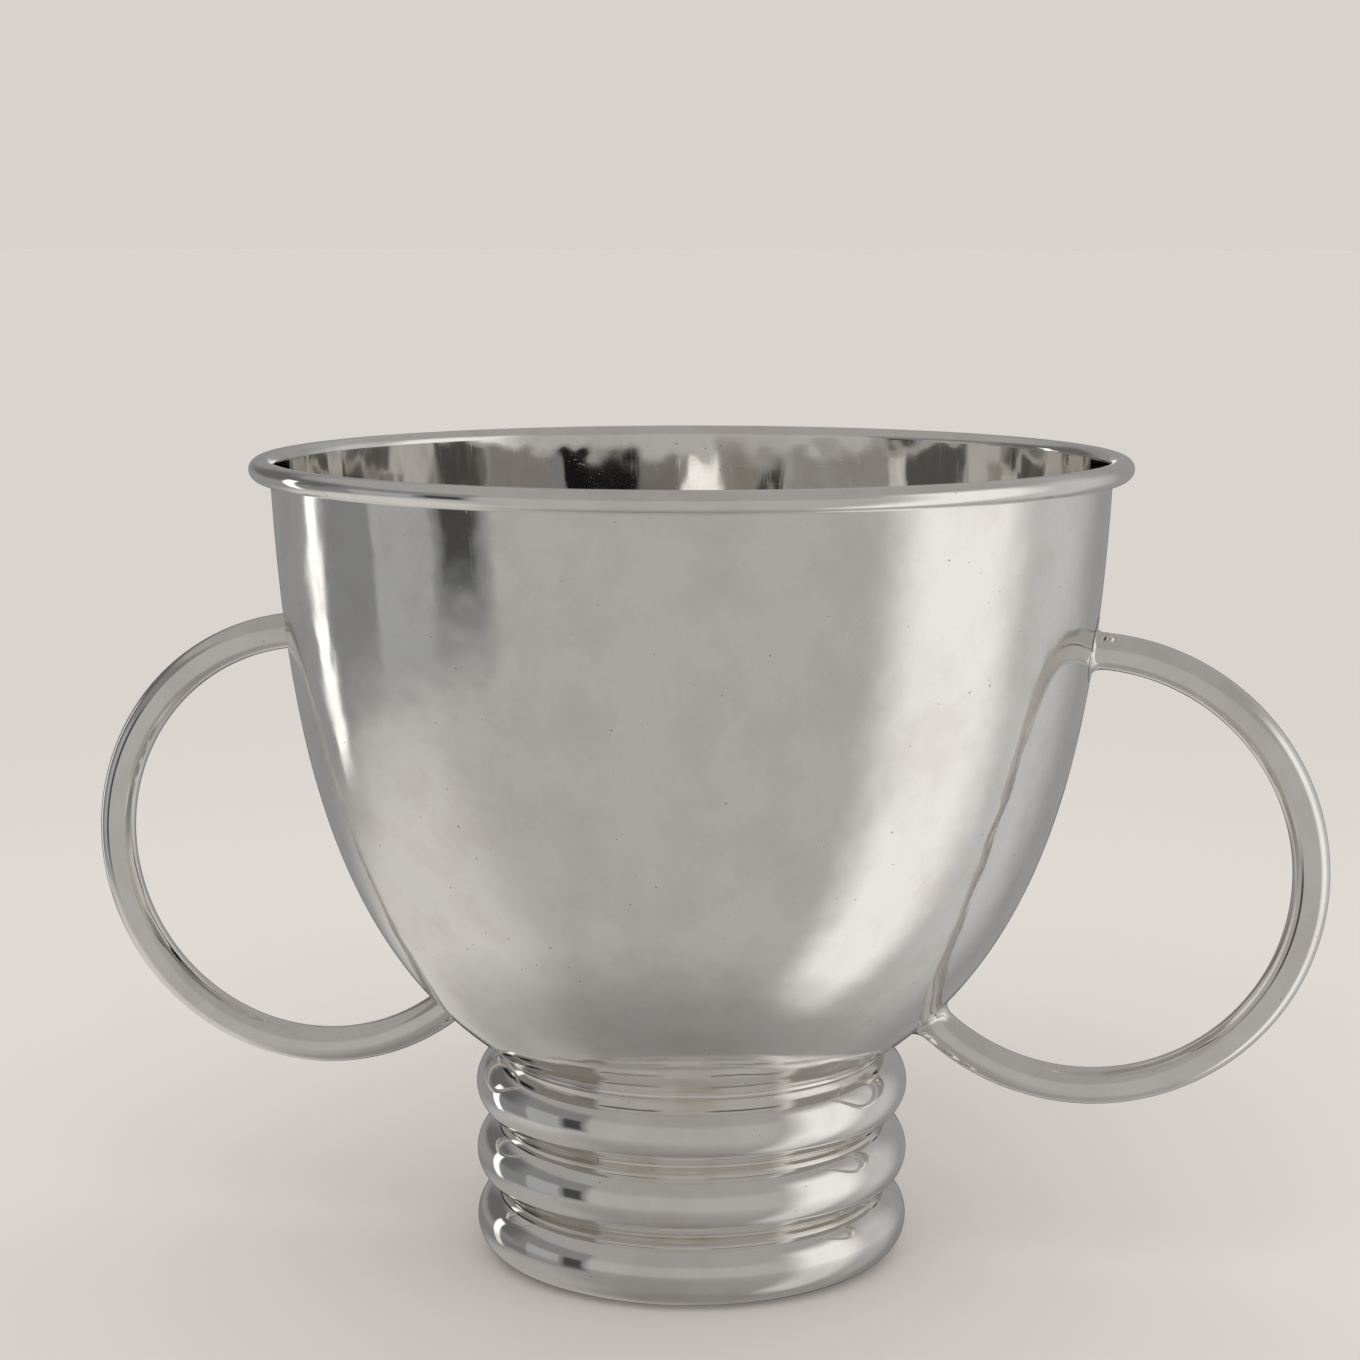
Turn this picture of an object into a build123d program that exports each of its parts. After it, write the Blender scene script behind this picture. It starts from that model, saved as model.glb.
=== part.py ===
from build123d import *
import math
import os

# Champagne bucket in silver-plated metal. Millimetres, +Z up, origin on the table at the foot's centre.
# A spun bowl with a wired rim stands on a foot of three stacked hollow rings.
# Two ring handles, one at each end of X, are mitred to the bowl and silver-soldered.

# Driving sizes
BOWL_RADIUS = 174.1          # radius that the bowl's wall would reach if it carried on upwards
BOWL_CURVE = 598.0           # height over which the wall's curve is drawn
BOWL_DEPTH = 267.0           # from the underside of the bowl up to the centre of the rim's roll
BOWL_SINK = 22.7             # how far the bowl's underside drops inside the top of the foot
SHEET = 1.6                  # thickness of the bowl's sheet

RIM_OUTER_RADIUS = 180.0
RIM_HALF_HEIGHT = 4.5
ROLL_END_ANGLE = -125.0      # where the rolled sheet's cut edge lies, under the rim

RING_COUNT = 3
RING_PITCH = 29.0
RING_CENTRE_RADIUS = 76.0
RING_TUBE_RADIUS = 14.6      # a little over half the pitch: the rings are ground flat where they meet
RING_WALL = 1.4

HANDLE_LOOP_RADIUS = 90.5    # centreline of the handle's tube
HANDLE_TUBE_RADIUS = 7.5
HANDLE_WALL = 1.5
HANDLE_REACH = 163.5         # from the bucket's axis to the centre of each handle's loop
HANDLE_DROP = 163.0          # from the rim's roll down to the centre of each handle's loop

FLARE = 2.2                  # radius of the solder flare where a handle meets the bowl
SEAM_START = 0.4             # how far outside the flat land the solder between two rings begins
SEAM_REACH = 1.2             # and how far along the groove it runs
BOWL_SEAM = 1.6              # size of the solder run between the top ring and the bowl
SLEEVE_WALL = 1.2
SLEEVE_GAP = 0.1
SLEEVE_OVERRUN = 3.0         # how far the sleeve runs past the middle of the end rings

# Derived sizes
FOOT_HEIGHT = RING_COUNT * RING_PITCH
BOWL_BOTTOM = FOOT_HEIGHT - BOWL_SINK
RIM_Z = BOWL_BOTTOM + BOWL_DEPTH
HANDLE_Z = RIM_Z - HANDLE_DROP
LAND_HALF_WIDTH = math.sqrt(RING_TUBE_RADIUS**2 - (RING_PITCH / 2) ** 2)

# Sections are drawn with x as the radius and y as the height, then turned about Z.


def wall_frame(height):
    """The wall's outer line at a height above its underside: the point, and the unit direction up the wall."""
    fall = 1 - height / BOWL_CURVE
    rise = math.sqrt(1 - fall**6)
    run = 3 * BOWL_RADIUS * fall**5 / BOWL_CURVE
    return Vector(BOWL_RADIUS * rise, BOWL_BOTTOM + height), Vector(run, rise).normalized()


def wall_curve(inset, steps=9):
    """The wall's line from the axis up to the rim, set in by part of the sheet's thickness."""
    points = []
    for step in range(steps + 1):
        point, along = wall_frame(BOWL_DEPTH * (step / steps) ** 2)
        points.append(point + Vector(-along.Y, along.X) * inset)
    return Spline(*points, tangents=[(1, 0), along])


def turned(section):
    return revolve(Plane.XZ * section, Axis.Z)


def block(x_low, x_high, y_low, y_high):
    return Pos((x_low + x_high) / 2, (y_low + y_high) / 2) * Rectangle(x_high - x_low, y_high - y_low)


def bar_section(z, radius):
    """The round section of a foot ring whose middle is at height z."""
    return Pos(RING_CENTRE_RADIUS, z) * Circle(radius)


# Bowl: one spun sheet, its top rolled outwards and down round a wire
outer_line = wall_curve(0)
inner_line = wall_curve(SHEET)
roll_half_width = (RIM_OUTER_RADIUS - (inner_line @ 1).X) / 2
roll_centre = (RIM_OUTER_RADIUS - roll_half_width, RIM_Z)


def roll_arc(thickness):
    """The rolled sheet's face at a depth inside its skin, from its cut edge round to the top of the wall."""
    half_width = roll_half_width - thickness
    half_height = RIM_HALF_HEIGHT - thickness
    return EllipticalCenterArc(
        roll_centre, half_width, half_height, start_angle=ROLL_END_ANGLE, arc_size=180 - ROLL_END_ANGLE
    )


skin = roll_arc(0)
lining = roll_arc(SHEET)
sheet_outline = [
    outer_line,
    Line(outer_line @ 1, lining @ 1),
    lining,
    Line(lining @ 0, skin @ 0),
    skin,
    Line(skin @ 1, inner_line @ 1),
    inner_line,
    Line(inner_line @ 0, outer_line @ 0),
]
bowl_shell = turned(make_face(sheet_outline))
wire_section = Pos(*roll_centre) * Ellipse(roll_half_width - SHEET, RIM_HALF_HEIGHT - SHEET)
rim_wire = turned(wire_section)

lid = Line(outer_line @ 1, (0, RIM_Z))
axis = Line((0, RIM_Z), outer_line @ 0)
bowl_section = make_face([outer_line, lid, axis])
bowl_filled = turned(bowl_section)

# Foot: hollow rings, each ground flat above and below, the top one also cut to seat the bowl
rings = {}
for number, name in enumerate(["foot_ring_lower", "foot_ring_middle", "foot_ring_upper"]):
    floor = number * RING_PITCH
    middle = floor + RING_PITCH / 2
    between_lands = block(0, RIM_OUTER_RADIUS, floor, floor + RING_PITCH)
    bar = bar_section(middle, RING_TUBE_RADIUS) & between_lands
    rings[name] = turned(bar - bar_section(middle, RING_TUBE_RADIUS - RING_WALL))
rings["foot_ring_upper"] -= bowl_filled

# Solder fills the grooves outside and inside each pair of rings
seams = {}
for number, name in enumerate(["seam_lower_middle", "seam_middle_upper"]):
    z = (number + 1) * RING_PITCH
    near = LAND_HALF_WIDTH + SEAM_START
    far = near + SEAM_REACH
    below = bar_section(z - RING_PITCH / 2, RING_TUBE_RADIUS)
    above = bar_section(z + RING_PITCH / 2, RING_TUBE_RADIUS)
    outside = block(RING_CENTRE_RADIUS + near, RING_CENTRE_RADIUS + far, z - 1, z + 1)
    inside = block(RING_CENTRE_RADIUS - far, RING_CENTRE_RADIUS - near, z - 1, z + 1)
    seams[name] = [turned(groove - below - above) for groove in (outside, inside)]

# The top ring's section and the bowl's cross at two corners, and a run of solder lies in each
top_bar = bar_section(FOOT_HEIGHT - RING_PITCH / 2, RING_TUBE_RADIUS)
corners = (top_bar & bowl_section).vertices().sort_by(Axis.X)
seams["seam_upper_bowl"] = [
    turned(Pos(corner.X, corner.Y) * Circle(BOWL_SEAM) - top_bar - bowl_section)
    for corner in (corners[0], corners[-1])
]

# A sleeve inside the foot keeps the rings in line
sleeve_radius = RING_CENTRE_RADIUS - RING_TUBE_RADIUS - SLEEVE_GAP
sleeve_bottom = RING_PITCH / 2 - SLEEVE_OVERRUN
sleeve_top = FOOT_HEIGHT - RING_PITCH / 2 + SLEEVE_OVERRUN
foot_sleeve = turned(block(sleeve_radius - SLEEVE_WALL, sleeve_radius, sleeve_bottom, sleeve_top))


def handle_loop(radius, side):
    """A full loop of round bar about a level axis, at one end of X."""
    section = Pos(side * (HANDLE_REACH + HANDLE_LOOP_RADIUS), 0, HANDLE_Z) * Circle(radius)
    return revolve(section, Axis((side * HANDLE_REACH, 0, HANDLE_Z), (0, 1, 0)))


# Handles: the part of each hollow loop that stays outside the bowl, with a flare of solder at both ends
handles = {}
joints = {}
for side, word in ((-1, "left"), (1, "right")):
    bar = handle_loop(HANDLE_TUBE_RADIUS, side) - bowl_filled
    handles[f"handle_{word}"] = bar - handle_loop(HANDLE_TUBE_RADIUS - HANDLE_WALL, side)
    joined = bowl_filled + bar
    mitres = [
        edge
        for edge in joined.edges()
        if 0 < edge.bounding_box().size.Y < 3 * HANDLE_TUBE_RADIUS
        and abs(edge.center().X) < BOWL_RADIUS
        and BOWL_BOTTOM < edge.center().Z < RIM_Z
    ]
    flares = (joined.fillet(FLARE, mitres) - bowl_filled - bar).solids().sort_by(Axis.Z)
    joints[f"joint_{word}_lower"] = flares[0]
    joints[f"joint_{word}_upper"] = flares[-1]

nodes = {"bowl_shell": bowl_shell, "rim_wire": rim_wire, "foot_sleeve": foot_sleeve}
nodes |= rings | seams | handles | joints

os.makedirs("parts", exist_ok=True)
for name, shape in nodes.items():
    pieces = shape if isinstance(shape, list) else [shape]
    export_step(Compound([solid for piece in pieces for solid in piece.solids()]), f"parts/{name}.step")
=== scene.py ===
import math

import bpy
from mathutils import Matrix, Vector


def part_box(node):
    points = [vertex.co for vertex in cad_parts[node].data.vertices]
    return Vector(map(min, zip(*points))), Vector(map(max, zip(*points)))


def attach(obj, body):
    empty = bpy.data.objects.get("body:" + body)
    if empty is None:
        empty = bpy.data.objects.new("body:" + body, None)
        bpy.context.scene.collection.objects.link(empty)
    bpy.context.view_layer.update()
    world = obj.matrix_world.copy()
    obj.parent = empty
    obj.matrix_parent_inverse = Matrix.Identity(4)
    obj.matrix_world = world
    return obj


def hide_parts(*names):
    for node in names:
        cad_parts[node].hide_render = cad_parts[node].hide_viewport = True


# A silver champagne bucket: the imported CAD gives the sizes, and the polished skins are rebuilt finely over
# it, because a mirror finish shows every facet. Metres, +Z up, handles along X.

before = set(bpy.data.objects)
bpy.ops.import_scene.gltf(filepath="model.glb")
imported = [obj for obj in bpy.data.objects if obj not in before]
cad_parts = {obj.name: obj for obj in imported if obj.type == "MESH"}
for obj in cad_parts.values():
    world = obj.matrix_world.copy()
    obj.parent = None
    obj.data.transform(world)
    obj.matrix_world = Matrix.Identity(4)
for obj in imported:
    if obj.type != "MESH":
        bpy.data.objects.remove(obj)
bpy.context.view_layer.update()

# Sizes that the boxes of the CAD nodes don't give
WALL_RADIUS = 0.1741
WALL_CURVE = 0.598
WALL_DEPTH = 0.267
SHEET = 0.0016
ROLL_END = math.radians(-125)
RING_TUBE = 0.0146
HANDLE_TUBE = 0.0075
FLARE = 0.0065               # how far a solder flare runs from the corner, wider than the CAD's fillet
PROUD = 0.0001               # how far the flare's edges stand off the tube and the wall
AROUND = 360                 # steps round everything that is turned about Z
LIP_STEPS = 6                # last steps of the rim's roll that are polished like the inside
HALVINGS = 40                # of the interval in which a handle's mitre is searched
SEAT_STEP = math.radians(0.25)

shell_low, shell_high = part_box("bowl_shell")
ring_low, ring_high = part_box("foot_ring_lower")
grip_low, grip_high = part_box("handle_right")

WALL_BOTTOM = shell_low[2]
RIM_Z = WALL_BOTTOM + WALL_DEPTH
RIM_OUTER = shell_high[0]
RING_PITCH = ring_high[2] - ring_low[2]
RING_CENTRE = ring_high[0] - RING_TUBE
LOOP_RADIUS = (grip_high[2] - grip_low[2]) / 2 - HANDLE_TUBE
LOOP_X = grip_high[0] - LOOP_RADIUS - HANDLE_TUBE
LOOP_Z = (grip_high[2] + grip_low[2]) / 2


# Shapes


def wall_radius(z):
    """Outer radius of the bowl's wall at height z."""
    fall = 1 - max(z - WALL_BOTTOM, 0) / WALL_CURVE
    return WALL_RADIUS * math.sqrt(1 - fall**6)


def wall_frame(height):
    """The wall's outer line at a height above its underside: the point, and the direction up the wall."""
    fall = 1 - height / WALL_CURVE
    rise = math.sqrt(1 - fall**6)
    run = 3 * WALL_RADIUS * fall**5 / WALL_CURVE
    length = math.hypot(run, rise)
    return (WALL_RADIUS * rise, WALL_BOTTOM + height), (run / length, rise / length)


def wall_line(inset, steps=84):
    """Points (radius, z) up the wall, set in by part of the sheet's thickness."""
    line = []
    for step in range(steps + 1):
        (radius, z), (run, rise) = wall_frame(WALL_DEPTH * (step / steps) ** 2)
        line.append((radius - inset * rise, z + inset * run))
    return line


def arc(centre, half_width, half_height, start, end, steps):
    """Points (radius, z) along an ellipse's arc, angles in radians."""
    points = []
    for step in range(steps + 1):
        angle = start + (end - start) * step / steps
        points.append((centre[0] + half_width * math.cos(angle), centre[1] + half_height * math.sin(angle)))
    return points


def mesh_object(name, vertices, faces, material_indices=None):
    mesh = bpy.data.meshes.new(name)
    mesh.from_pydata(vertices, [], faces)
    mesh.polygons.foreach_set("use_smooth", [True] * len(faces))
    if material_indices:
        mesh.polygons.foreach_set("material_index", material_indices)
    mesh.update()
    item = bpy.data.objects.new(name, mesh)
    bpy.context.scene.collection.objects.link(item)
    return item


def lathe(name, profile, closed, second_material_from=None):
    """Turns a profile of (radius, z) points about Z. A point on the axis becomes one vertex."""
    vertices = []
    rows = []
    for radius, z in profile:
        if radius < 1e-6:
            rows.append([len(vertices)] * AROUND)
            vertices.append((0, 0, z))
            continue
        rows.append(range(len(vertices), len(vertices) + AROUND))
        for step in range(AROUND):
            turn = 2 * math.pi * step / AROUND
            vertices.append((radius * math.cos(turn), radius * math.sin(turn), z))
    faces = []
    materials = []
    last = len(rows) if closed else len(rows) - 1
    for number in range(last):
        low = rows[number]
        high = rows[(number + 1) % len(rows)]
        inside = second_material_from is not None and number >= second_material_from
        for step in range(AROUND):
            after = (step + 1) % AROUND
            corners = [low[step], low[after], high[after], high[step]]
            faces.append(list(dict.fromkeys(corners)))
            materials.append(1 if inside else 0)
    return mesh_object(name, vertices, faces, materials)


def build_bowl():
    """The spun sheet: up the outside, round inside the roll, back over the rim and down the inside."""
    outer = wall_line(0)
    inner = wall_line(SHEET)
    half_width = (RIM_OUTER - inner[-1][0]) / 2
    half_height = shell_high[2] - RIM_Z
    centre = (RIM_OUTER - half_width, RIM_Z)
    lining = arc(centre, half_width - SHEET, half_height - SHEET, math.pi, ROLL_END, 32)
    skin = arc(centre, half_width, half_height, ROLL_END, math.pi, 60)
    profile = outer[:-1] + lining + skin + inner[-2::-1]
    inside_from = len(outer) - 1 + len(lining) + len(skin) - LIP_STEPS
    return lathe("bowl_skin", profile, closed=False, second_material_from=inside_from)


def build_ring(name, number):
    """A foot ring, flat where it meets its neighbours. The top ring stops inside the bowl's sheet."""
    centre = (RING_CENTRE, (number + 0.5) * RING_PITCH)
    land = math.asin(RING_PITCH / 2 / RING_TUBE)
    outer_top = land
    inner_top = math.pi - land
    if number == 2:
        outer_top = seat_angle(centre, 0)
        inner_top = seat_angle(centre, math.pi)
    outside = arc(centre, RING_TUBE, RING_TUBE, -land, outer_top, 72)
    inside = arc(centre, RING_TUBE, RING_TUBE, inner_top, math.pi + land, 72)
    return lathe(name, outside + inside, closed=True)


def seat_angle(centre, start):
    """The angle on a ring's section, going up from start, where it enters the bowl's sheet."""
    towards_top = SEAT_STEP if start < math.pi / 2 else -SEAT_STEP
    angle = start
    while abs(angle - start) < math.pi / 2:
        radius = centre[0] + RING_TUBE * math.cos(angle)
        z = centre[1] + RING_TUBE * math.sin(angle)
        if z > WALL_BOTTOM and wall_radius(z - SHEET / 2) > radius:
            break
        angle += towards_top
    return angle


def loop_point(side, turn, around, radius=HANDLE_TUBE):
    """A point on a handle's tube: turn is the place along the loop, around the place on its section."""
    reach = LOOP_RADIUS + radius * math.cos(around)
    x = side * (LOOP_X + reach * math.cos(turn))
    return Vector((x, radius * math.sin(around), LOOP_Z + reach * math.sin(turn)))


def mitre_turn(side, around, upper, inset):
    """Where along the loop a line of the tube meets the bowl's wall, set in by part of the sheet."""
    outside = math.pi / 2 if upper else -math.pi / 2
    inside = math.pi if upper else -math.pi
    for _ in range(HALVINGS):
        middle = (outside + inside) / 2
        point = loop_point(side, middle, around)
        if math.hypot(point.x, point.y) > wall_radius(point.z) - inset:
            outside = middle
        else:
            inside = middle
    return (outside + inside) / 2


def strip(name, rows, wrap):
    """Quads between rows of points, each row closing on itself if wrap is set."""
    count = len(rows[0])
    vertices = [tuple(point) for row in rows for point in row]
    faces = []
    for number in range(len(rows) - 1):
        for step in range(count if wrap else count - 1):
            after = (step + 1) % count
            base = number * count
            faces.append((base + step, base + after, base + count + after, base + count + step))
    return mesh_object(name, vertices, faces)


def build_handle(name, side, sections=96, lengths=260):
    """The tube of one handle, from inside the bowl's sheet out round its loop and back."""
    arounds = [2 * math.pi * step / sections for step in range(sections)]
    lows = [mitre_turn(side, around, False, SHEET / 2) for around in arounds]
    highs = [mitre_turn(side, around, True, SHEET / 2) for around in arounds]
    rows = []
    for number in range(lengths + 1):
        share = number / lengths
        turns = [low + (high - low) * share for low, high in zip(lows, highs)]
        rows.append([loop_point(side, turn, around) for turn, around in zip(turns, arounds)])
    return strip(name, rows, wrap=True)


def wall_normal(point):
    """The bowl's outward direction at a point on or near its wall."""
    _, (run, rise) = wall_frame(max(point.z - WALL_BOTTOM, 0.001))
    level = Vector((point.x, point.y, 0)).normalized()
    return (level * rise - Vector((0, 0, run))).normalized()


def on_wall(point, proud):
    """The point moved level to the wall, and standing proud of it by a little."""
    level = Vector((point.x, point.y, 0)).normalized()
    radius = wall_radius(point.z)
    return level * radius + Vector((0, 0, point.z)) + wall_normal(point) * proud


def build_flare(name, side, upper, sections=144, steps=12):
    """The concave run of solder round one end of a handle, from the tube out on to the wall.

    Each section is a curve pulled towards the corner between the two, and its width ripples a little."""
    rows = [[] for _ in range(steps + 1)]
    back = -1 if upper else 1
    for section in range(sections):
        around = 2 * math.pi * section / sections
        turn = mitre_turn(side, around, upper, 0)
        corner = loop_point(side, turn, around)
        width = FLARE * (1 + 0.07 * math.sin(3 * around + side) + 0.04 * math.sin(7 * around + 2 * back))
        on_tube = loop_point(side, turn + back * width / LOOP_RADIUS, around, HANDLE_TUBE + PROUD)
        out = corner - loop_point(side, turn, around, 0)
        normal = wall_normal(corner)
        slide = (out - normal * out.dot(normal)).normalized()
        spread = on_wall(corner + slide * width, PROUD)
        for step in range(steps + 1):
            share = step / steps
            start = on_tube.lerp(corner, share)
            end = corner.lerp(spread, share)
            rows[step].append(start.lerp(end, share))
    return strip(name, rows, wrap=True)


# Materials


class Nodes:
    """Short ways to add shader nodes to one node tree."""

    def __init__(self, tree):
        self.tree = tree
        tree.nodes.clear()

    def add(self, kind, **settings):
        node = self.tree.nodes.new(kind)
        for key, value in settings.items():
            setattr(node, key, value)
        return node

    def link(self, source, target):
        self.tree.links.new(source, target)

    def feed(self, socket, value):
        """Joins an output to a socket, or sets the socket's own value."""
        if isinstance(value, bpy.types.NodeSocket):
            self.link(value, socket)
        else:
            socket.default_value = value

    def math(self, operation, first, second=0.0):
        node = self.add("ShaderNodeMath", operation=operation)
        self.feed(node.inputs[0], first)
        self.feed(node.inputs[1], second)
        return node.outputs[0]

    def ramp(self, value, low, high, to_low=0.0, to_high=1.0, smooth=True):
        node = self.add("ShaderNodeMapRange", interpolation_type="SMOOTHSTEP" if smooth else "LINEAR")
        self.feed(node.inputs["Value"], value)
        limits = {"From Min": low, "From Max": high, "To Min": to_low, "To Max": to_high}
        for socket, number in limits.items():
            node.inputs[socket].default_value = number
        return node.outputs["Result"]

    def mix(self, share, first, second):
        """A mix of two colours. The node's colour inputs are at 6 and 7, and its colour output at 2."""
        node = self.add("ShaderNodeMix", data_type="RGBA")
        self.feed(node.inputs[0], share)
        self.feed(node.inputs[6], first)
        self.feed(node.inputs[7], second)
        return node.outputs[2]

    def noise(self, vector, scale, detail=2.0, roughness=0.5, stretch=None):
        if stretch:
            mapping = self.add("ShaderNodeMapping")
            mapping.inputs["Scale"].default_value = stretch[0]
            mapping.inputs["Rotation"].default_value = stretch[1]
            self.link(vector, mapping.inputs["Vector"])
            vector = mapping.outputs[0]
        node = self.add("ShaderNodeTexNoise")
        self.link(vector, node.inputs["Vector"])
        node.inputs["Scale"].default_value = scale
        node.inputs["Detail"].default_value = detail
        node.inputs["Roughness"].default_value = roughness
        return node.outputs[0]

    def bump(self, height, distance, below=None):
        node = self.add("ShaderNodeBump")
        node.inputs["Strength"].default_value = 1.0
        node.inputs["Distance"].default_value = distance
        self.link(height, node.inputs["Height"])
        if below:
            self.link(below, node.inputs["Normal"])
        return node.outputs[0]


SILVER = (0.93, 0.915, 0.89, 1)
SILVER_WORN = (0.86, 0.83, 0.78, 1)
PIT = (0.50, 0.46, 0.42, 1)
PIT_DEPTH = 0.00006
BRASS = (0.78, 0.60, 0.33, 1)
BRASS_WORN = (0.50, 0.36, 0.20, 1)


def scratch_mask(nodes, place):
    """Fine straight scratches in two directions, as noise drawn out along each."""
    lines_one = nodes.noise(place, 1.0, 2.0, 0.5, stretch=((900, 900, 22), (0.5, 0.2, 0.9)))
    lines_two = nodes.noise(place, 1.0, 2.0, 0.5, stretch=((26, 1100, 1100), (0.3, 1.1, 0.2)))
    return nodes.math("ADD", nodes.ramp(lines_one, 0.60, 0.72), nodes.ramp(lines_two, 0.62, 0.74))


def pit_mask(nodes, place, pitted):
    """Small round pits, in the given share of the cells of a fine pattern, each with a size of its own."""
    specks = nodes.add("ShaderNodeTexVoronoi", feature="F1", distance="EUCLIDEAN")
    specks.inputs["Scale"].default_value = 300.0
    nodes.link(place, specks.inputs["Vector"])
    spread = nodes.add("ShaderNodeSeparateColor")
    nodes.link(specks.outputs["Color"], spread.inputs[0])
    size = nodes.ramp(spread.outputs[0], 1 - pitted, 1.0, 0.0, 0.15, smooth=False)
    return nodes.ramp(nodes.math("SUBTRACT", size, specks.outputs["Distance"]), 0.0, 0.05)


def used_metal(name, smooth, hazy, wave, scratch, pitted, dents=0.0, colour=SILVER, worn=SILVER_WORN):
    """Metal with marks of use, silver plate unless other colours are given.

    smooth to hazy is the roughness range. wave, scratch and dents are the depths of relief in metres, and
    pitted is the share of places that have a pit."""
    material = bpy.data.materials.new(name)
    material.use_nodes = True
    nodes = Nodes(material.node_tree)
    place = nodes.add("ShaderNodeTexCoord").outputs["Object"]

    broad = nodes.noise(place, 9.0, 3.0, 0.55)
    cloud = nodes.noise(place, 38.0, 5.0, 0.6)
    fine = nodes.noise(place, 900.0, 3.0, 0.6)
    scratches = scratch_mask(nodes, place)
    pits = pit_mask(nodes, place, pitted)

    tone = nodes.mix(nodes.ramp(cloud, 0.42, 0.72), colour, worn)
    tone = nodes.mix(nodes.ramp(fine, 0.52, 0.76, 0.0, 0.4), tone, worn)
    tone = nodes.mix(pits, tone, PIT)

    patchy = nodes.math("ADD", nodes.math("MULTIPLY", broad, 0.6), nodes.math("MULTIPLY", cloud, 0.4))
    haze = nodes.ramp(patchy, 0.38, 0.64, smooth, hazy)
    roughness = nodes.math("ADD", haze, nodes.math("MULTIPLY", scratches, 0.05))
    roughness = nodes.math("ADD", roughness, nodes.math("MULTIPLY", pits, 0.3))

    normal = nodes.bump(nodes.noise(place, 40.0, 1.5, 0.4), wave)
    if dents:
        hollows = nodes.noise(place, 1.0, 1.0, 0.4, stretch=((60, 60, 30), (0, 0, 0)))
        normal = nodes.bump(hollows, dents, normal)
    normal = nodes.bump(fine, scratch * 0.5, normal)
    normal = nodes.bump(scratches, scratch, normal)
    normal = nodes.bump(nodes.math("MULTIPLY", pits, -1.0), PIT_DEPTH, normal)

    shader = nodes.add("ShaderNodeBsdfPrincipled")
    shader.inputs["Metallic"].default_value = 1.0
    nodes.link(tone, shader.inputs["Base Color"])
    nodes.link(roughness, shader.inputs["Roughness"])
    nodes.link(normal, shader.inputs["Normal"])
    output = nodes.add("ShaderNodeOutputMaterial")
    nodes.link(shader.outputs[0], output.inputs[0])
    return material


# Studio

VIEW_TURN = 0.1974           # the camera stands this far round to the right of straight ahead, in radians
CAMERA_DISTANCE = 1.230      # level, from the bucket's axis
CAMERA_ABOVE_RIM = 0.0956
CAMERA_PITCH = 0.14939       # downwards, in radians
CAMERA_LENS = 79.4
SIDEWAYS = 0.00853           # share of the frame's width by which the bucket's axis stands off its middle

BACKDROP = (0.686, 0.651, 0.617, 1)
PAPER_NEAR = (0.808, 0.763, 0.728, 1)
PAPER_NEAR_PALE = (0.812, 0.767, 0.732, 1)
# painted shade: the paper's tone far from the bucket, darker so that the lit floor meets the backdrop evenly
PAPER_FAR_PAINTED_SHADE = (0.735, 0.694, 0.662, 1)
FLOOR_DIM = (0.12, 0.115, 0.11, 1)
FLOOR_HALF = 60.0            # so wide that its far edge meets the backdrop at the horizon
SHADE_RADIUS = 0.26
SHADE_HEIGHT = 0.0004
ALL_ROUND = 400              # degrees, past both ends of a full turn
ONCE_MIRRORED = 2            # the world's ray depth for light that the metal has mirrored once


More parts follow.
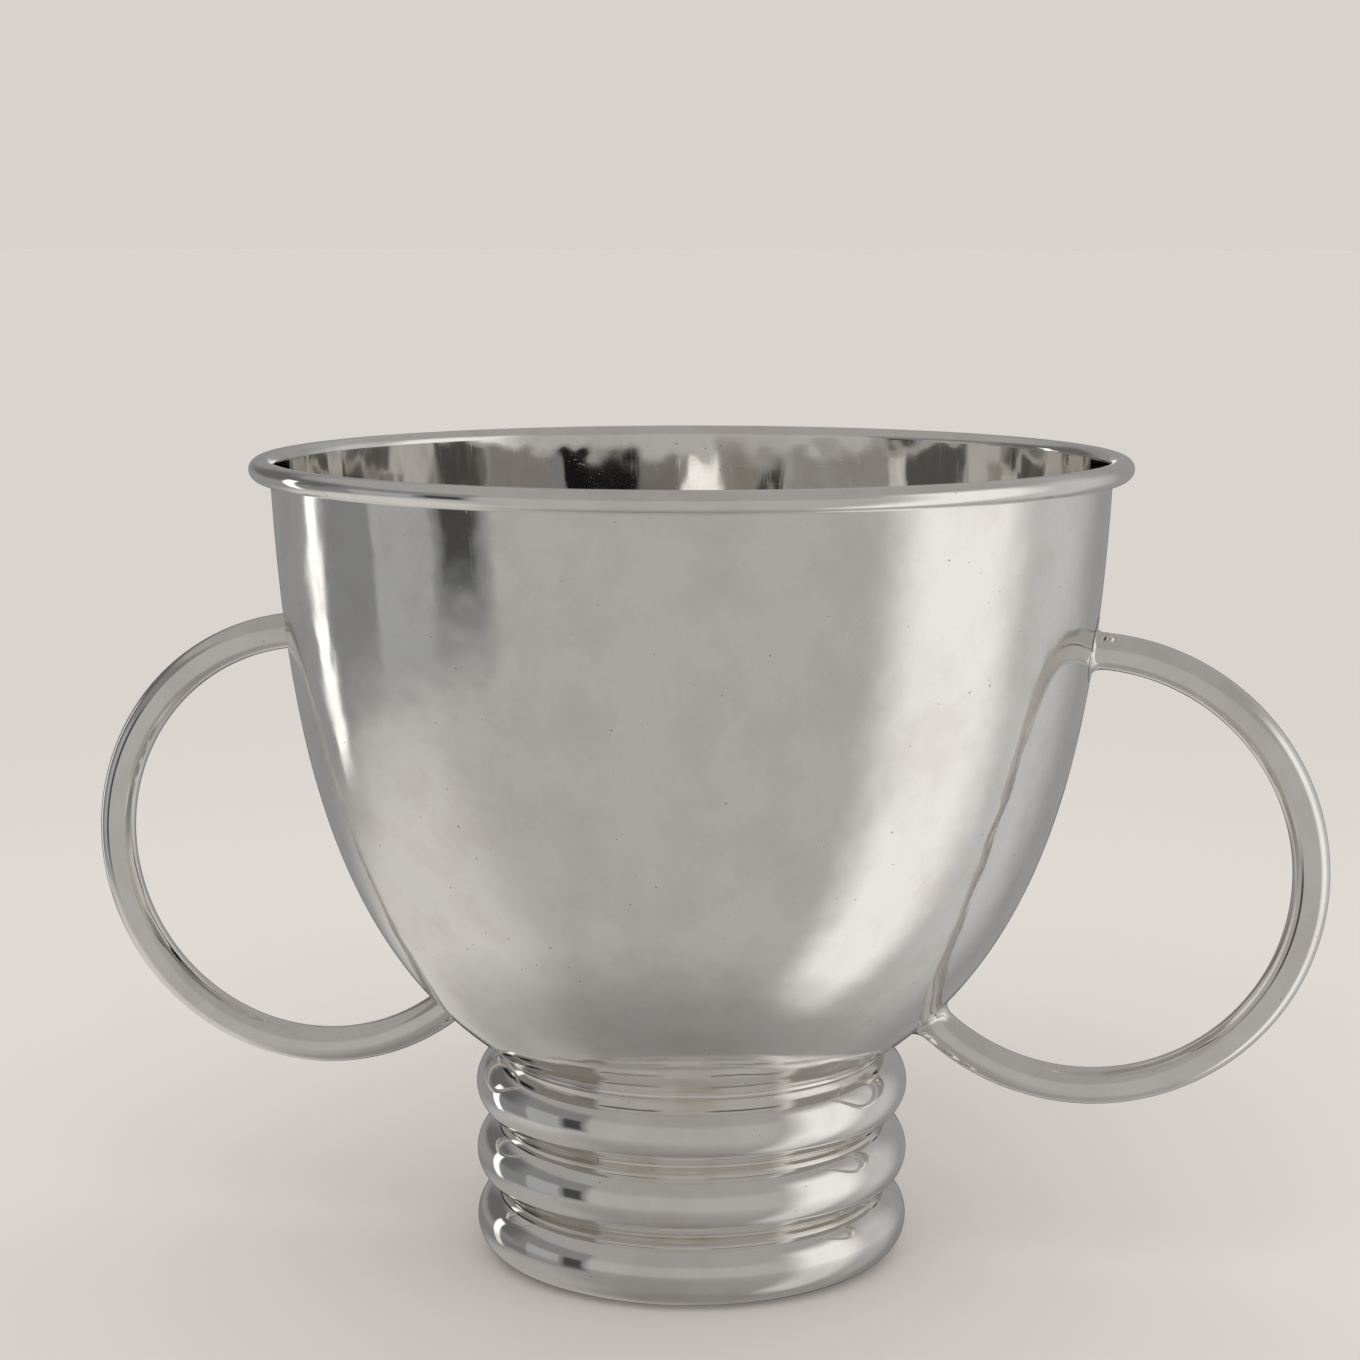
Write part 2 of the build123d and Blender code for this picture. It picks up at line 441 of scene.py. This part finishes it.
def studio_world():
    """A studio painted by direction, in degrees round from the camera's side and above the floor."""
    world = bpy.data.worlds.new("studio")
    bpy.context.scene.world = world
    world.use_nodes = True
    nodes = Nodes(world.node_tree)
    look = nodes.add("ShaderNodeSeparateXYZ")
    nodes.link(nodes.add("ShaderNodeTexCoord").outputs["Generated"], look.inputs[0])
    east, north, up = look.outputs

    def times(first, second):
        return nodes.math("MULTIPLY", first, second)

    across = nodes.math("ADD", times(east, math.cos(VIEW_TURN)), times(north, math.sin(VIEW_TURN)))
    near = nodes.math("SUBTRACT", times(east, math.sin(VIEW_TURN)), times(north, math.cos(VIEW_TURN)))
    turn = times(nodes.math("ARCTAN2", across, near), 180 / math.pi)
    rise = times(nodes.math("ARCSINE", up), 180 / math.pi)

    def between(value, low, high, soft):
        """1 between two angles and 0 outside them, with soft edges."""
        return times(nodes.ramp(value, low - soft, low + soft), nodes.ramp(value, high + soft, high - soft))

    def patch(left, right, low, high, soft_turn, soft_rise):
        """A soft-edged window of direction, as a mask."""
        return times(between(turn, left, right, soft_turn), between(rise, low, high, soft_rise))

    def grey(value, warm=0.0):
        """A grey of this brightness, a little warmer or cooler."""
        return (value * (1 + warm), value, value * (1 - 1.4 * warm), 1)

    patches = [
        # left, right, low, high, soft turn, soft rise, tone
        # Ceiling, floor, side walls and what stands behind the bucket
        (-ALL_ROUND, ALL_ROUND, 20, 100, 1, 8, grey(0.34, 0.02)),
        (-ALL_ROUND, ALL_ROUND, -100, -68, 1, 12, grey(0.33, 0.02)),
        (-175, -76, -60, -22, 20, 9, grey(0.58, 0.03)),
        (-182, -118, -22, 30, 8, 6, grey(0.27, 0.0)),
        (-120, -56, -18, 30, 3, 4, grey(0.22, -0.01)),
        (-158, -104, 2, 26, 8, 5, grey(0.13, 0.0)),
        (100, 190, -48, 30, 16, 12, grey(0.52, 0.0)),
        (134, ALL_ROUND, -48, 30, 14, 12, grey(0.30, 0.0)),
        # Soft boxes and the window, mirrored by the outside of the bowl
        (-96, -73, -18, 10, 1.5, 3, grey(0.36, -0.01)),
        (-70, -59, -14, 9, 1.5, 3, grey(0.06, 0.0)),
        (-128, -121, -20, 14, 1.0, 2, grey(1.20, 0.01)),
        (58, 98, -66, 34, 11, 9, grey(0.86, 0.01)),
        # Dark edges far behind
        (168, ALL_ROUND, -40, -4, 3, 2, grey(0.07, 0.0)),
        (-ALL_ROUND, -168, -40, -4, 3, 2, grey(0.07, 0.0)),
    ]
    # Flags and gaps level with the rim, met only by light mirrored twice, as inside the bowl
    flags = [
        (-54, -18, 2, 9, 5, 2, grey(0.06, 0.02)),
        (10, 50, 2, 9, 5, 2, grey(0.08, 0.02)),
        (-98, -58, -12, 45, 3, 3, grey(0.20, 0.05)),
        (-152, -102, 2, 14, 3, 2, grey(0.008, 0.0)),
        (-174, -155, -12, 45, 3, 3, grey(0.16, 0.05)),
        (-ALL_ROUND, -176, -12, 45, 2, 3, grey(1.05, 0.0)),
        (164, ALL_ROUND, -12, 45, 2, 3, grey(1.05, 0.0)),
        (138, 162, -12, 45, 3, 3, grey(0.22, 0.05)),
        (129, 137, 2, 14, 2, 2, grey(0.02, 0.0)),
        (60, 127, -12, 45, 4, 3, grey(0.26, 0.03)),
    ]
    path = nodes.add("ShaderNodeLightPath")
    twice = nodes.math("GREATER_THAN", path.outputs["Ray Depth"], ONCE_MIRRORED + 0.5)
    colour = grey(0.41, 0.02)
    for left, right, low, high, soft_turn, soft_rise, tone in patches:
        colour = nodes.mix(patch(left, right, low, high, soft_turn, soft_rise), colour, tone)
    for left, right, low, high, soft_turn, soft_rise, tone in flags:
        mask = times(patch(left, right, low, high, soft_turn, soft_rise), twice)
        colour = nodes.mix(mask, colour, tone)

    light = nodes.add("ShaderNodeBackground")
    nodes.link(colour, light.inputs["Color"])
    backdrop = nodes.add("ShaderNodeBackground")
    backdrop.inputs["Color"].default_value = BACKDROP
    mix = nodes.add("ShaderNodeMixShader")
    nodes.link(path.outputs["Is Camera Ray"], mix.inputs[0])
    nodes.link(light.outputs[0], mix.inputs[1])
    nodes.link(backdrop.outputs[0], mix.inputs[2])
    output = nodes.add("ShaderNodeOutputWorld")
    nodes.link(mix.outputs[0], output.inputs[0])


def floor():
    """A pale floor that the metal doesn't mirror: the lower half of the painted studio stands for it."""
    corners = [(FLOOR_HALF * x, FLOOR_HALF * y, 0) for x, y in ((-1, -1), (1, -1), (1, 1), (-1, 1))]
    item = mesh_object("floor", corners, [(0, 1, 2, 3)])
    material = bpy.data.materials.new("floor_paper")
    material.use_nodes = True
    nodes = Nodes(material.node_tree)
    place = nodes.add("ShaderNodeTexCoord").outputs["Object"]
    mottle = nodes.ramp(nodes.noise(place, 3.0, 2.0), 0.3, 0.7)
    tone = nodes.mix(mottle, PAPER_NEAR, PAPER_NEAR_PALE)
    reach = nodes.add("ShaderNodeVectorMath", operation="LENGTH")
    nodes.link(place, reach.inputs[0])
    # Painted shade: the paper darkens with distance, evening out the floor's light against the backdrop
    tone = nodes.mix(nodes.ramp(reach.outputs["Value"], 0.4, 1.6), tone, PAPER_FAR_PAINTED_SHADE)
    shader = nodes.add("ShaderNodeBsdfPrincipled")
    shader.inputs["Roughness"].default_value = 1.0
    shader.inputs["Specular IOR Level"].default_value = 0.0
    nodes.link(tone, shader.inputs["Base Color"])
    output = nodes.add("ShaderNodeOutputMaterial")
    nodes.link(shader.outputs[0], output.inputs[0])
    item.data.materials.append(material)
    item.visible_glossy = False


def floor_shade():
    """The dim floor close round the foot, seen only in the metal."""
    profile = [(SHADE_RADIUS * share, SHADE_HEIGHT) for share in (0, 0.5, 1)]
    item = lathe("floor_shade", profile, closed=False)
    material = bpy.data.materials.new("floor_shade")
    material.use_nodes = True
    nodes = Nodes(material.node_tree)
    shifted = nodes.add("ShaderNodeMapping")
    shifted.inputs["Location"].default_value = (0.035, 0.01, 0)
    nodes.link(nodes.add("ShaderNodeTexCoord").outputs["Object"], shifted.inputs["Vector"])
    reach = nodes.add("ShaderNodeVectorMath", operation="LENGTH")
    nodes.link(shifted.outputs[0], reach.inputs[0])
    dim = nodes.add("ShaderNodeEmission")
    dim.inputs["Color"].default_value = FLOOR_DIM
    mix = nodes.add("ShaderNodeMixShader")
    nodes.link(nodes.ramp(reach.outputs["Value"], 0.23, 0.09, 0.0, 0.46), mix.inputs[0])
    nodes.link(nodes.add("ShaderNodeBsdfTransparent").outputs[0], mix.inputs[1])
    nodes.link(dim.outputs[0], mix.inputs[2])
    output = nodes.add("ShaderNodeOutputMaterial")
    nodes.link(mix.outputs[0], output.inputs[0])
    item.data.materials.append(material)
    item.visible_camera = False
    item.visible_diffuse = False
    item.visible_shadow = False


def soft_sun(name, direction, strength, spread):
    """A broad sun for the floor's soft shadow; the metal mirrors the painted studio and not this."""
    data = bpy.data.lights.new(name, "SUN")
    data.energy = strength
    data.angle = math.radians(spread)
    lamp = bpy.data.objects.new(name, data)
    lamp.rotation_euler = (-Vector(direction)).to_track_quat("-Z", "Y").to_euler()
    lamp.visible_glossy = False
    bpy.context.scene.collection.objects.link(lamp)


def camera():
    """The photograph's viewpoint: a long lens, a little above the rim and right of straight ahead."""
    data = bpy.data.cameras.new("camera")
    data.lens = CAMERA_LENS
    data.sensor_width = 36
    data.shift_x = -SIDEWAYS
    item = bpy.data.objects.new("camera", data)
    x = CAMERA_DISTANCE * math.sin(VIEW_TURN)
    y = -CAMERA_DISTANCE * math.cos(VIEW_TURN)
    item.location = (x, y, RIM_Z + CAMERA_ABOVE_RIM)
    item.rotation_euler = (math.pi / 2 - CAMERA_PITCH, 0, VIEW_TURN)
    bpy.context.scene.collection.objects.link(item)
    bpy.context.scene.camera = item


# Put together

outside_silver = used_metal(
    "silver_outside", smooth=0.05, hazy=0.165, wave=0.00045, scratch=0.0000015, pitted=0.22
)
inside_silver = used_metal(
    "silver_inside", smooth=0.03, hazy=0.07, wave=0.0002, scratch=0.000001, pitted=0.12, dents=0.0004
)
bright_silver = used_metal(
    "silver_bright", smooth=0.03, hazy=0.07, wave=0.00008, scratch=0.000001, pitted=0.12
)
solder_silver = used_metal(
    "silver_solder", smooth=0.08, hazy=0.16, wave=0.00012, scratch=0.000002, pitted=0.08
)
bare_brass = used_metal(
    "brass_bare",
    smooth=0.28,
    hazy=0.42,
    wave=0.0001,
    scratch=0.000003,
    pitted=0.10,
    colour=BRASS,
    worn=BRASS_WORN,
)

bowl = build_bowl()
bowl.data.materials.append(outside_silver)
bowl.data.materials.append(inside_silver)
skins = [(bowl, "bowl_shell", "bowl_silver")]
for number, word in enumerate(("lower", "middle", "upper")):
    ring = build_ring(f"ring_{word}_skin", number)
    ring.data.materials.append(bright_silver)
    skins.append((ring, f"foot_ring_{word}", "foot_silver"))
for side, word in ((-1, "left"), (1, "right")):
    handle = build_handle(f"{word}_handle_skin", side)
    handle.data.materials.append(bright_silver)
    skins.append((handle, f"handle_{word}", "handle_silver"))
    for upper, level in ((False, "lower"), (True, "upper")):
        flare = build_flare(f"{word}_{level}_flare", side, upper)
        flare.data.materials.append(solder_silver)
        skins.append((flare, f"joint_{word}_{level}", "solder"))
for skin, node, slot in skins:
    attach(skin, "root")
    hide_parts(node)

for node, material in (
    ("rim_wire", bare_brass),
    ("foot_sleeve", bare_brass),
    ("seam_lower_middle", solder_silver),
    ("seam_middle_upper", solder_silver),
    ("seam_upper_bowl", solder_silver),
):
    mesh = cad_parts[node].data
    mesh.materials.clear()
    mesh.materials.append(material)

studio_world()
floor()
floor_shade()
soft_sun("overhead", (0, 0, 1), 0.55, 120)
soft_sun("front", (0.1, -1, 0.75), 1.3, 80)
soft_sun("behind", (0, 1, 0.9), 0.8, 90)
camera()
bpy.context.scene.view_settings.view_transform = "Standard"
